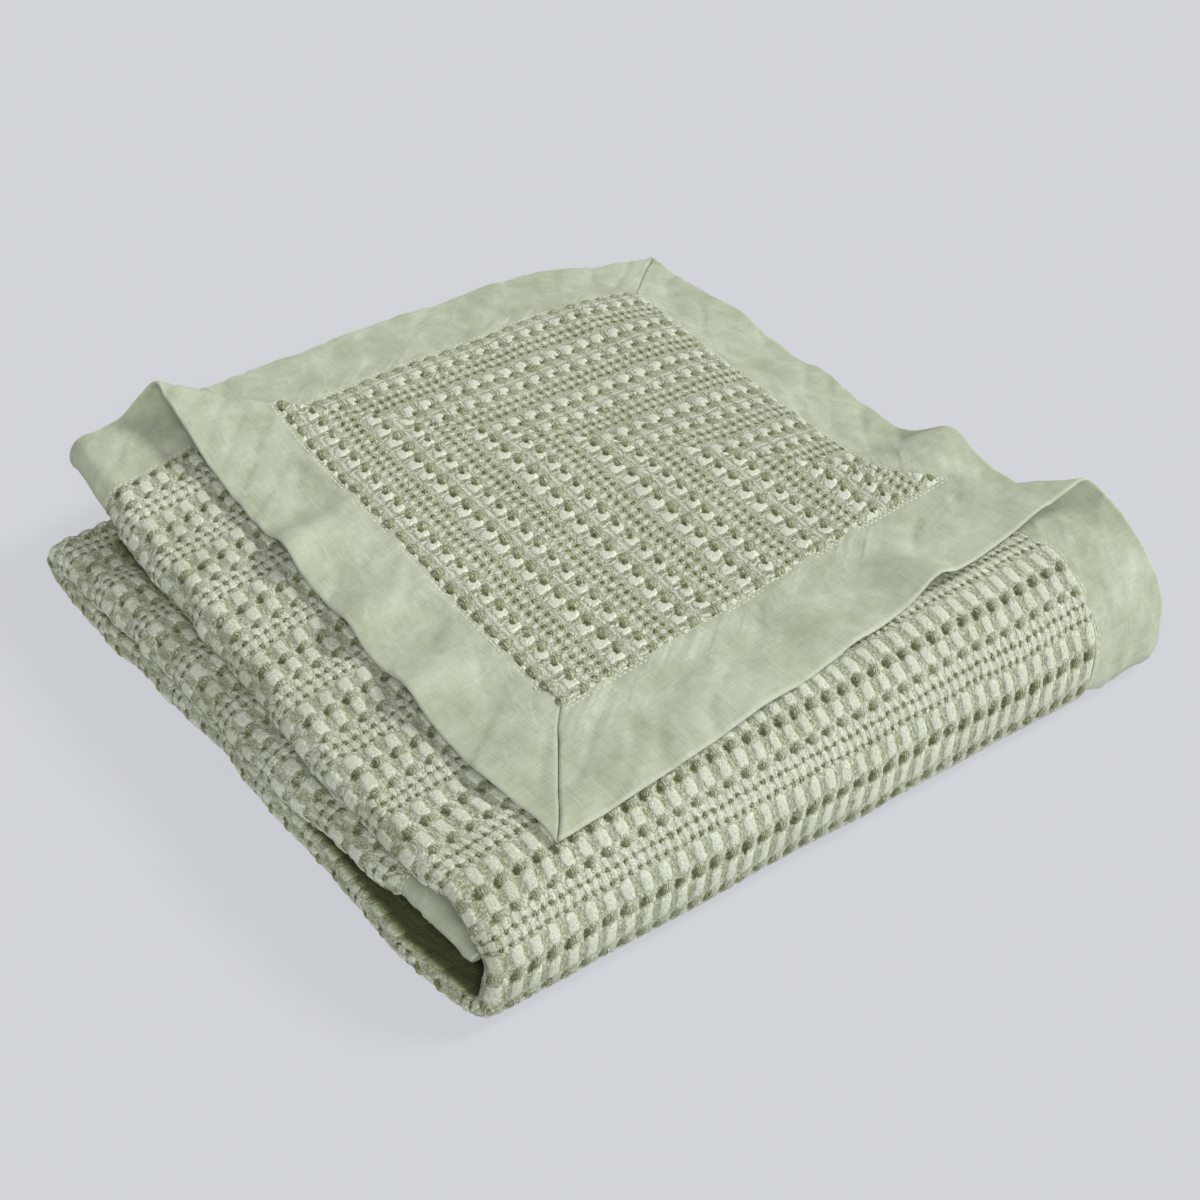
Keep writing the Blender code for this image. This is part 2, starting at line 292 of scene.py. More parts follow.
def face_normal(across, along):
    """The mid-surface's unit normal, on the side of the cloth's face."""
    over = folded(across + NORMAL_STEP, along) - folded(across - NORMAL_STEP, along)
    down = folded(across, along + NORMAL_STEP) - folded(across, along - NORMAL_STEP)
    normal = np.cross(down, over)
    return normal / np.linalg.norm(normal, axis=-1, keepdims=True)


# Noise on a lattice of random values, the same on every run
LATTICE_SIZE = 64
LATTICE = np.random.RandomState(7).rand(LATTICE_SIZE, LATTICE_SIZE)
LATTICE_STRIDE = (17.0, 29.0)


def noise(u, v, shift=0):
    """Smooth noise from -1 to 1, one lattice cell to a unit. Each shift gives another noise."""
    u = np.asarray(u, float) + LATTICE_STRIDE[0] * shift
    v = np.asarray(v, float) + LATTICE_STRIDE[1] * shift
    i, j = np.floor(u).astype(int), np.floor(v).astype(int)
    fu, fv = smooth(u - i), smooth(v - j)
    corner = [LATTICE[(i + a) % LATTICE_SIZE, (j + b) % LATTICE_SIZE] for a in (0, 1) for b in (0, 1)]
    low = corner[0] * (1.0 - fv) + corner[1] * fv
    high = corner[2] * (1.0 - fv) + corner[3] * fv
    return 2.0 * (low * (1.0 - fu) + high * fu) - 1.0


# The weave. Rows of cells run across the cloth and repeat along it. Each row says how far it lies along from
# the start of the repeat, how far its cells are shifted across, their half sizes across and along, their
# height, their tone from dark to light, how much they are ribbed, whether they are square, and how many there
# are to a pitch.
FLAP_PITCH = 0.01370
FRONT_PITCH = 0.01248
PITCH_CHANGE = (0.300, 0.420)
COLUMN_START = 0.00300
REPEAT = 0.05180
REPEAT_PLACES = (
    # along, repeats
    (0.0158, 0.0),
    (0.1197, 2.0),
    (0.1712, 3.0),
    (0.4895, 9.0),
    (0.5367, 10.0),
    (1.5727, 30.0),
)
FACE_ROWS = (
    # along, shift, half across, half along, height, tone, ribs, square, per pitch
    # The first two rows are pits beside the knots: sunk, and painted dark as shade.
    (0.0010, -0.26, 0.0034, 0.0036, 0.00, 0.15, 0.0, 0, 1),
    (0.0180, -0.24, 0.0030, 0.0030, 0.10, 0.30, 0.0, 0, 1),
    (0.0090, 0.53, 0.0019, 0.0050, 0.25, 0.70, 0.35, 0, 1),
    (0.0430, 0.57, 0.0019, 0.0058, 0.25, 0.70, 0.35, 0, 1),
    (0.0088, 0.04, 0.0043, 0.0064, 0.80, 0.98, 0.0, 1, 1),
    (0.0430, 0.08, 0.0043, 0.0068, 0.80, 0.98, 0.0, 1, 1),
    (0.0225, 0.25, 0.0022, 0.0036, 0.60, 0.97, 0.0, 1, 2),
    (0.0303, 0.50, 0.0022, 0.0036, 0.60, 0.97, 0.0, 1, 2),
    (0.0263, 0.00, 0.0019, 0.0018, 0.60, 0.30, 0.9, 0, 2),
    (0.0343, 0.00, 0.0019, 0.0018, 0.60, 0.30, 0.9, 0, 2),
    (0.0000, 0.00, 0.0040, 0.0035, 1.00, 0.65, 1.0, 0, 1),
    (0.0172, 0.02, 0.0036, 0.0030, 0.92, 0.70, 1.0, 0, 1),
)
REVERSE_ROWS = (
    (0.0056, 0.00, 0.0200, 0.0012, 0.55, 0.95, 0.0, 1, 1),
    (0.0125, 0.40, 0.0043, 0.0046, 0.70, 1.06, 0.0, 1, 1),
    (0.0455, 0.40, 0.0045, 0.0054, 0.70, 1.06, 0.0, 1, 1),
    (0.0100, -0.10, 0.0022, 0.0050, 0.74, 1.08, 0.0, 1, 1),
    (0.0440, -0.10, 0.0023, 0.0054, 0.74, 1.08, 0.0, 1, 1),
    (0.0100, -0.10, 0.0012, 0.0038, 0.60, 0.50, 0.6, 0, 1),
    (0.0440, -0.10, 0.0013, 0.0042, 0.60, 0.50, 0.6, 0, 1),
    (0.0225, 0.10, 0.0019, 0.0026, 0.56, 1.02, 0.0, 1, 2),
    (0.0303, 0.10, 0.0019, 0.0026, 0.56, 1.02, 0.0, 1, 2),
    (0.0263, 0.60, 0.0031, 0.0031, 0.60, 0.98, 0.0, 0, 2),
    (0.0343, 0.60, 0.0031, 0.0031, 0.60, 0.98, 0.0, 0, 2),
    (0.0263, 0.60, 0.0021, 0.0021, 0.70, 0.24, 0.9, 0, 2),
    (0.0343, 0.60, 0.0021, 0.0021, 0.70, 0.24, 0.9, 0, 2),
    # These two rows are pits beside the knots: sunk, and painted dark as shade.
    (-0.0026, 0.16, 0.0034, 0.0028, 0.00, 0.10, 0.0, 0, 1),
    (0.0144, 0.16, 0.0030, 0.0025, 0.00, 0.14, 0.0, 0, 1),
    (0.0000, 0.00, 0.0041, 0.0037, 1.00, 0.62, 1.0, 0, 1),
    (0.0168, 0.00, 0.0036, 0.0033, 0.95, 0.60, 1.0, 0, 1),
)

# How the yarns wander across and along the cloth
DRIFTS = (
    # metres, wavelength across, wavelength along, noise shift
    (0.0011, 0.050, 0.035, 1),
    (0.0005, 0.011, 0.012, 2),
)
SLIPS = (
    (0.0010, 0.045, 0.060, 3),
    (0.0005, 0.012, 0.011, 4),
)


def wander(waves, across, along):
    return sum(size * noise(across / wide, along / long, shift) for size, wide, long, shift in waves)


def weave_place(across, along):
    """Where a point lies in the weave, in pitches and repeats, with the yarns wandering a little."""
    drift, slip = wander(DRIFTS, across, along), wander(SLIPS, across, along)
    change = smooth((along - PITCH_CHANGE[0]) / (PITCH_CHANGE[1] - PITCH_CHANGE[0]))
    pitch = FLAP_PITCH + (FRONT_PITCH - FLAP_PITCH) * change
    repeats = np.interp(along + slip, *zip(*REPEAT_PLACES))
    return (across + drift - COLUMN_START) / pitch, repeats


# Relief of the weave. Heights of cells are shares of RELIEF, over a BASE. BACK_OPEN is where, along the cloth,
# the back fold can be seen.
RELIEF = 0.0028
BASE = 0.0008
GROUND_HEIGHT = 0.38
CELL_SPREAD = (0.737, 3.31)
CELL_START = 5.0
ROW_SPREAD = 900.0
CELL_NOISE = 5
UNEVEN = 0.12
PIT_SOFT = 0.6
EDGE_FLAT = 0.0045
EDGE_REST = 0.2
PLUMP = 0.0020
PLUMP_ACROSS = 0.028
PLUMP_ALONG = 0.024
PLUMP_NOISE = 6
FOLD_PLUMP = 0.0016
FOLD_ZONE = 0.040
# Painted shade in the hollows between the lumps near the left fold.
HOLLOW_SHADE = 0.16
HOLLOW_FROM = 1.3
HOLLOW_SLOPE = 1.9
# Where the face turns in between piles, the weave is flattened and the same amount is painted as shade.
TUCK_FROM = 0.40
TUCK_TO = 0.98
TUCK_FLAT = 0.7
LEDGE_FROM = 0.030
LEDGE_TO = 0.044
TOP_PILE_END = 0.600
MIDDLE_PILE_START = 1.060
BACK_OPEN = (1.012, 1.092)
BACK_FADE = 0.012
FLOOR_CLEAR = 0.0002


def weave_height(u, v, rows):
    """Relief height in metres."""
    height = np.full(u.shape, GROUND_HEIGHT)
    for along, shift, half_across, half_along, top, _tone, _ribs, square, many in rows:
        du = u * many - shift
        dv = v - along / REPEAT
        cell, repeat = np.floor(du + 0.5), np.floor(dv + 0.5)
        odd_row = repeat * CELL_SPREAD[1] + along * ROW_SPREAD
        odd = noise(cell * CELL_SPREAD[0] + CELL_START, odd_row, CELL_NOISE)
        du = np.abs((du - cell) * FLAP_PITCH / many / half_across)
        dv = np.abs((dv - repeat) * REPEAT / half_along)
        power = 4.0 if square else 2.0
        inside = np.clip(1.0 - du**power - dv**power, 0.0, 1.0) ** 0.5
        if top < GROUND_HEIGHT:
            pit = GROUND_HEIGHT + (top - GROUND_HEIGHT) * smooth(inside / PIT_SOFT)
            height = np.where(inside > 0.0, pit, height)
        else:
            height = np.maximum(height, top * (1.0 + UNEVEN * odd) * inside)
    return height * RELIEF


def tuck(across, along):
    """How far the face turns in between two piles at the left fold, from 0 to 1, also used as painted shade.
    """
    arc = np.pi * column(LEFT_FOLD, "roll", along) / 2.0
    turn = smooth((np.abs(across) / arc - TUCK_FROM) / (TUCK_TO - TUCK_FROM))
    ledge = smooth((across - LEDGE_FROM) / (LEDGE_TO - LEDGE_FROM))
    upper = np.where(along < TOP_PILE_END, 0.0, np.where(along > MIDDLE_PILE_START, ledge, turn))
    back = smooth((along - BACK_OPEN[0]) / BACK_FADE) * smooth((BACK_OPEN[1] - along) / BACK_FADE)
    return np.where(across > 0.0, upper * (1.0 - back), turn)


def panel_edge(across, along):
    """Falls to 0 where the panel runs under its borders."""
    inside = np.minimum.reduce([across - IN_LOW, IN_HIGH - across, along - HEAD, FOOT - along])
    return smooth(inside / EDGE_FLAT + EDGE_REST)


def raise_weave(across, along, side):
    """Points on the raised weave, their places in the weave, and the painted shade of each where it turns in
    or lies in a hollow.
    """
    u, v = weave_place(across, along)
    height = weave_height(u, v, FACE_ROWS if side > 0 else REVERSE_ROWS)
    plump = 0.5 + 0.5 * noise(across / PLUMP_ACROSS, along / PLUMP_ALONG, PLUMP_NOISE)
    tuck_and_shade = tuck(across, along) if side > 0 else np.zeros(across.shape)
    fold = np.exp(-((across / FOLD_ZONE) ** 2))
    swell = (PLUMP + FOLD_PLUMP * fold) * plump * (1.0 - tuck_and_shade)
    lift = BASE + (height * (1.0 - TUCK_FLAT * tuck_and_shade) + swell) * panel_edge(across, along)
    if side > 0:
        # Painted shade in the hollows between the lumps near the left fold.
        tuck_and_shade = np.maximum(tuck_and_shade, HOLLOW_SHADE * fold * smooth(HOLLOW_FROM - HOLLOW_SLOPE * plump))
    points = folded(across, along) + side * lift[..., None] * face_normal(across, along)
    points[..., 2] = np.maximum(points[..., 2], FLOOR_CLEAR)
    return points, np.stack([u, v], axis=-1), tuck_and_shade


# Meshes
def mesh_object(name, points, faces, flat, cloth, places=None, tuck_and_shade=None):
    """A smooth shaded mesh with its flat place in a UV map, in metres, its place in the weave or along the
    seam in another, and the painted shade where it turns in between piles or lies in a hollow."""
    data = bpy.data.meshes.new(name)
    data.vertices.add(len(points))
    data.vertices.foreach_set("co", points.astype(np.float32).ravel())
    faces = np.asarray(faces, np.int32)
    data.loops.add(faces.size)
    data.loops.foreach_set("vertex_index", faces.ravel())
    data.polygons.add(len(faces))
    starts = np.arange(0, faces.size, faces.shape[1], dtype=np.int32)
    data.polygons.foreach_set("loop_start", starts)
    data.update(calc_edges=True)
    data.polygons.foreach_set("use_smooth", np.ones(len(faces), bool))
    for key, values in (("flat", flat), ("place", places)):
        if values is not None:
            uv = data.uv_layers.new(name=key)
            uv.data.foreach_set("uv", values[faces.ravel()].astype(np.float32).ravel())
    if tuck_and_shade is not None:
        attribute = data.attributes.new("tuck_and_shade", "FLOAT", "POINT")
        attribute.data.foreach_set("value", tuck_and_shade.astype(np.float32))
    data.materials.append(cloth)
    data.validate()
    piece = bpy.data.objects.new(name, data)
    bpy.context.scene.collection.objects.link(piece)
    return piece


def grid_faces(rows, columns, start=0):
    """Quads of a grid whose normals follow the face side."""
    index = start + np.arange(rows * columns).reshape(rows, columns)
    corners = [index[:-1, :-1], index[:-1, 1:], index[1:, 1:], index[1:, :-1]]
    return np.stack(corners, axis=-1).reshape(-1, 4)


def relief(name, blocks, side, cloth):
    """Raised weave on one side of the cloth, over blocks of the flat cloth. Side is 1 for the face and -1 for
    the reverse."""
    points, faces, flats, places, painted_shades = [], [], [], [], []
    start = 0
    for low, high, first, last, step, keep in blocks:
        s = np.linspace(low, high, int(round((high - low) / step)) + 1)
        t = np.linspace(first, last, int(round((last - first) / step)) + 1)
        across, along = np.meshgrid(s, t, indexing="ij")
        raised, place, tuck_and_shade = raise_weave(across, along, side)
        flat = np.stack([across, along], axis=-1).reshape(-1, 2)
        quads = grid_faces(len(s), len(t))
        if side < 0:
            quads = quads[:, ::-1]
        if keep is not None:
            centre = flat[quads].mean(axis=1)
            quads = quads[keep(centre[:, 0], centre[:, 1])]
        points.append(raised.reshape(-1, 3))
        faces.append(quads + start)
        flats.append(flat)
        places.append(place.reshape(-1, 2))
        painted_shades.append(tuck_and_shade.ravel())
        start += across.size
    faces = np.concatenate(faces)
    used, inverse = np.unique(faces, return_inverse=True)
    points, flats, places, painted_shades = (np.concatenate(rows)[used] for rows in (points, flats, places, painted_shades))
    return mesh_object(name, points, inverse.reshape(faces.shape), flats, cloth, places, painted_shades)


def shell(name, across, along, half, cloth, places, bend=None):
    """A closed sheet round the mid-surface, of the given half thickness, from grids of flat places."""
    place, normal = folded(across, along), face_normal(across, along)
    rows, columns = across.shape
    flat = np.stack([across, along], axis=-1).reshape(-1, 2)
    if bend is not None:
        place = place + bend[..., None] * normal
    top = (place + half[..., None] * normal).reshape(-1, 3)
    bottom = (place - half[..., None] * normal).reshape(-1, 3)
    dip = np.maximum(FLOOR_CLEAR - np.minimum(top[:, 2], bottom[:, 2]), 0.0)
    top[:, 2] += dip
    bottom[:, 2] += dip
    count = rows * columns
    index = np.arange(count).reshape(rows, columns)
    ring = np.concatenate([index[:-1, 0], index[-1, :-1], index[:0:-1, -1], index[0, :0:-1]])
    after = np.roll(ring, -1)
    rim = np.stack([ring, after, after + count, ring + count], axis=-1)
    quads = np.concatenate([grid_faces(rows, columns), grid_faces(rows, columns, count)[:, ::-1], rim])
    points, flats, places = (np.concatenate(pair) for pair in ((top, bottom), (flat, flat), (places, places)))
    return mesh_object(name, points, quads, flats, cloth, places)


def lines(*parts):
    """Joins runs of evenly spaced lines: (start, end, step)."""
    runs = [np.linspace(a, b, max(1, int(round((b - a) / step))), endpoint=False) for a, b, step in parts]
    return np.concatenate([*runs, [parts[-1][1]]])


# Shader nodes
def shader_of(name, roughness, sheen):
    made = bpy.data.materials.new(name)
    made.use_nodes = True
    shader = made.node_tree.nodes["Principled BSDF"]
    shader.inputs["Roughness"].default_value = roughness
    shader.inputs["Specular IOR Level"].default_value = 0.25
    shader.inputs["Sheen Weight"].default_value = sheen
    shader.inputs["Sheen Roughness"].default_value = 0.6
    return made, made.node_tree, shader


def feed(tree, socket, value):
    """Links an input to another node's output, or sets its value."""
    if isinstance(value, bpy.types.NodeSocket):
        tree.links.new(value, socket)
    else:
        socket.default_value = value


def node(tree, kind, settings=None, **inputs):
    """A new node. Its inputs are given by name, or as i and a number."""
    made = tree.nodes.new(kind)
    for key, value in (settings or {}).items():
        setattr(made, key, value)
    for key, value in inputs.items():
        number = key[1:]
        feed(tree, made.inputs[int(number) if number.isdigit() else key], value)
    return made


def maths(tree, operation, first, second=0.0, third=0.0):
    settings = {"operation": operation}
    return node(tree, "ShaderNodeMath", settings, i0=first, i1=second, i2=third).outputs[0]


def vector_maths(tree, operation, *values):
    made = node(tree, "ShaderNodeVectorMath", {"operation": operation})
    for index, value in enumerate(values):
        feed(tree, made.inputs[index], value)
    return made.outputs["Value" if operation == "DOT_PRODUCT" else "Vector"]


def mix(tree, share, first, second):
    """first where the share is 0, second where it is 1."""
    return maths(tree, "MULTIPLY_ADD", maths(tree, "SUBTRACT", second, first), share, first)


def blend_colour(tree, share, first, second):
    made = node(tree, "ShaderNodeMix", {"data_type": "RGBA"})
    sockets = {socket.identifier: socket for socket in made.inputs}
    for key, value in (("Factor_Float", share), ("A_Color", first), ("B_Color", second)):
        feed(tree, sockets[key], value)
    return [socket for socket in made.outputs if socket.identifier == "Result_Color"][0]


def remap(tree, value, low, high, kind="LINEAR"):
    """0 where the value is low, 1 where it is high."""
    made = node(tree, "ShaderNodeMapRange", {"interpolation_type": kind}, i0=value, i1=low, i2=high)
    return made.outputs[0]


def texture(tree, place, scale, detail, output="Fac", **more):
    made = node(tree, "ShaderNodeTexNoise", None, Vector=place, Scale=scale, Detail=detail, **more)
    return made.outputs[output]


def centred(tree, value, amount):
    """Turns noise from 0 to 1 into noise of this amount round 0."""
    return maths(tree, "MULTIPLY_ADD", value, amount, -amount / 2.0)


def from_middle(tree, value):
    """How far noise from 0 to 1 is from its middle."""
    return maths(tree, "ABSOLUTE", maths(tree, "SUBTRACT", value, 0.5))


def uv_map(tree, name):
    return node(tree, "ShaderNodeUVMap", {"uv_map": name}).outputs["UV"]


def stretched(tree, place, across, along):
    return node(tree, "ShaderNodeMapping", None, Vector=place, Scale=(across, along, 1.0)).outputs[0]


def parts_of(tree, place):
    parts = node(tree, "ShaderNodeSeparateXYZ", None, i0=place)
    return parts.outputs["X"], parts.outputs["Y"]


def dress_shader(tree, shader, colour, rough, bump):
    for name, value in (("Base Color", colour), ("Roughness", rough), ("Normal", bump.outputs["Normal"])):
        tree.links.new(value, shader.inputs[name])


# The panel's material. A tone of 0 is YARN_DARK, MID_TONE is YARN_MID and 1 is YARN_LIGHT.
YARN_DARK = (0.080, 0.098, 0.022, 1.0)
YARN_MID = (0.372, 0.424, 0.210, 1.0)
YARN_LIGHT = (0.810, 0.872, 0.712, 1.0)
MID_TONE = 0.45
WOBBLE = (0.36, 0.095)
WOBBLE_SCALE = 190.0
FUZZ_SCALE = 620.0
FUZZ_SHADE = 1.10
FUZZ_ROUGH = 0.10
FUZZ_BUMP = 1.6
CLOUD_SCALE = 45.0
CLOUD_SHADE = 0.30
CURL_SCALE = 300.0
CURL_WIDTH = 0.07
CURL_DARK = 0.30
CURL_PLAIN = 0.30
CURL_BUMP = 0.45
RIB = 0.0016
RIB_CURVE = 0.5
RIB_SHADE = 0.34
RIB_BUMP = 0.40
RIM = 0.70
# Painted shade: plain cells are darker towards their rims.
RIM_SHADE = 0.26
# Painted shade: ribbed cells are darker towards their lower side across.
SIDE_SHADE = 0.16
RIBBED_COVER = 0.75
PLAIN_COVER = 0.12
PIT_COVER = 0.8
# The gap round each cell is sunk by GAP_DEPTH, and its colour is darkened as painted shade.
SQUARE_GAP = -0.6
ROUND_GAP = -0.5
GAP_DEPTH = 0.6
WEAVE_BUMP = 0.0016


def rib_phase(tree, cell, half_across, half_along, ribs_across):
    """Turns of the ribs over a cell, counted across them and a little curved along them."""
    over, down = parts_of(tree, cell)
    across_ribs, along_ribs, size = (over, down, half_across) if ribs_across else (down, over, half_along)
    curve = maths(tree, "MULTIPLY", maths(tree, "MULTIPLY", along_ribs, along_ribs), RIB_CURVE)
    return maths(tree, "MULTIPLY_ADD", across_ribs, size / RIB, curve)


def woven_cloth(name, rows, ribs_across, ground, gap_shade, rough_edge):
    """The cells of one side of the weave, drawn row by row: tone and painted shade, then ribs, then colour and
    bump.
    """
    made, tree, shader = shader_of(name, 0.92, 0.12)
    place, flat = uv_map(tree, "place"), uv_map(tree, "flat")
    wobble = texture(tree, flat, WOBBLE_SCALE, 3.0, "Color", Roughness=0.6)
    place = vector_maths(tree, "MULTIPLY_ADD", wobble, (*WOBBLE, 0.0), place)
    place = vector_maths(tree, "ADD", place, (-WOBBLE[0] / 2.0, -WOBBLE[1] / 2.0, 0.0))
    fuzz = texture(tree, flat, FUZZ_SCALE, 3.0, Roughness=0.75)
    ruffle = centred(tree, fuzz, rough_edge)
    tone, ribbed, phase, height, curled = ground, 0.0, 0.0, GROUND_HEIGHT, 1.0
    for along, shift, half_across, half_along, top, light, ribs, square, many in rows:
        scale = (FLAP_PITCH / many / half_across, REPEAT / half_along, 0.0)
        cell = vector_maths(tree, "MULTIPLY_ADD", place, (many, 1.0, 0.0), (-shift, -along / REPEAT, 0.0))
        cell = vector_maths(tree, "WRAP", cell, (0.5, 0.5, 0.5), (-0.5, -0.5, -0.5))
        cell = vector_maths(tree, "MULTIPLY", cell, scale)
        shape = vector_maths(tree, "MULTIPLY", cell, cell) if square else cell
        away = maths(tree, "ADD", vector_maths(tree, "DOT_PRODUCT", shape, shape), ruffle)
        inside = maths(tree, "SUBTRACT", 1.0, away)
        # Pits: inside them the tone falls to their dark tone, as painted shade.
        if top < GROUND_HEIGHT and not ribs:
            tone = mix(tree, remap(tree, inside, 0.0, PIT_COVER), tone, light)
            continue
        cover = remap(tree, inside, 0.0, RIBBED_COVER if ribs else PLAIN_COVER)
        gap = remap(tree, inside, SQUARE_GAP if square else ROUND_GAP, 0.0)
        edge = remap(tree, inside, 0.0, RIM)
        # Painted shade on plain cells, darker towards the rim.
        rim = 0.0 if ribs else RIM_SHADE * light
        shaded = maths(tree, "MULTIPLY_ADD", edge, rim, light - rim)
        if ribs:
            # Painted shade, darker towards the cell's lower side across.
            shaded = maths(tree, "MULTIPLY_ADD", parts_of(tree, cell)[0], SIDE_SHADE, shaded)
            turns = rib_phase(tree, cell, half_across, half_along, ribs_across)
            phase = mix(tree, cover, phase, turns)
        # Painted shade in the gap round the cell.
        tone = maths(tree, "MULTIPLY", tone, maths(tree, "MULTIPLY_ADD", gap, -gap_shade, 1.0))
        tone = mix(tree, cover, tone, shaded)
        height = maths(tree, "MULTIPLY", height, maths(tree, "MULTIPLY_ADD", gap, -GAP_DEPTH, 1.0))
        height = mix(tree, cover, height, maths(tree, "MULTIPLY", edge, top))
        curled = mix(tree, cover, curled, CURL_PLAIN if square else 1.0)
        ribbed = mix(tree, cover, ribbed, maths(tree, "MULTIPLY", edge, ribs) if ribs else 0.0)
    wave = maths(tree, "SINE", maths(tree, "MULTIPLY_ADD", phase, 2.0 * math.pi, math.pi / 2.0))
    wave = maths(tree, "MULTIPLY", wave, ribbed)
    curl = from_middle(tree, texture(tree, flat, CURL_SCALE, 1.0, Distortion=1.2))
    curl = maths(tree, "SUBTRACT", remap(tree, curl, 0.0, CURL_WIDTH), 1.0)
    curl = maths(tree, "MULTIPLY", curl, curled)
    cloud = texture(tree, flat, CLOUD_SCALE, 2.0)
    shade = maths(tree, "MULTIPLY_ADD", wave, RIB_SHADE, tone)
    shade = maths(tree, "ADD", shade, centred(tree, cloud, CLOUD_SHADE))
    shade = maths(tree, "ADD", shade, centred(tree, fuzz, FUZZ_SHADE))
    shade = maths(tree, "MULTIPLY", shade, maths(tree, "MULTIPLY_ADD", curl, CURL_DARK, 1.0))
    # Painted shade: darkened towards YARN_DARK where the cloth turns in between piles and in the hollows of
    # the left fold.
    tuck_and_shade = node(tree, "ShaderNodeAttribute", {"attribute_name": "tuck_and_shade"}).outputs["Fac"]
    shade = maths(tree, "MULTIPLY", shade, maths(tree, "SUBTRACT", 1.0, tuck_and_shade))
    dark = blend_colour(tree, remap(tree, shade, 0.0, MID_TONE), YARN_DARK, YARN_MID)
    colour = blend_colour(tree, remap(tree, shade, MID_TONE, 1.0), dark, YARN_LIGHT)
    rough = maths(tree, "MULTIPLY_ADD", fuzz, FUZZ_ROUGH, 0.86)
    height = maths(tree, "MULTIPLY_ADD", wave, RIB_BUMP, height)
    height = maths(tree, "MULTIPLY_ADD", curl, CURL_BUMP, height)
    height = maths(tree, "MULTIPLY_ADD", fuzz, FUZZ_BUMP, height)
    bump = node(tree, "ShaderNodeBump", None, Strength=1.0, Distance=WEAVE_BUMP, Height=height)
    dress_shader(tree, shader, colour, rough, bump)
    return made


# The borders' material
BORDER_DARK = (0.322, 0.368, 0.234, 1.0)
BORDER_LIGHT = (0.552, 0.604, 0.474, 1.0)
OVERLAP = 0.0030
STITCH_LINES = (0.0000, 0.0022)
BORDER_YARN = 0.00055
YARN_BUMP = 0.05
SLUB_STRETCH = 0.10
SLUB_SCALE = 700.0
SLUB_SHADE = 0.6
SLUB_ROUGH = 0.12
SLUB_BUMP = 0.20
BLOTCH_SCALE = 30.0
BLOTCH_SHADE = 1.6
BLOTCH_BUMP = 1.1
CREASE_SCALE = 20.0
CREASE_WIDTH = 0.05
# Painted highlight along the crease ridges.
CREASE_HIGHLIGHT = 0.10
CREASE_BUMP = 0.22
GATHER_SLANT = 0.7
GATHER_STRETCH = 0.22
GATHER_SCALE = 52.0
GATHER_REACH = 0.045
GATHER_PATCH = (0.44, 0.60)
# Painted light and shade on the gathers: lighter on their crests, darker between them.
GATHER_LIGHT_AND_SHADE = 0.5
GATHER_BUMP = 5.0
# Painted shadow: a dark line along the border's inner edge, under the seam.
GROOVE_FROM = 0.0022
GROOVE_TO = 0.0012
GROOVE_SHADE = 0.55
HEM = 0.0026
# Painted highlight along the hem edge.
HEM_HIGHLIGHT = 0.45
BORDER_BUMP = 0.0012


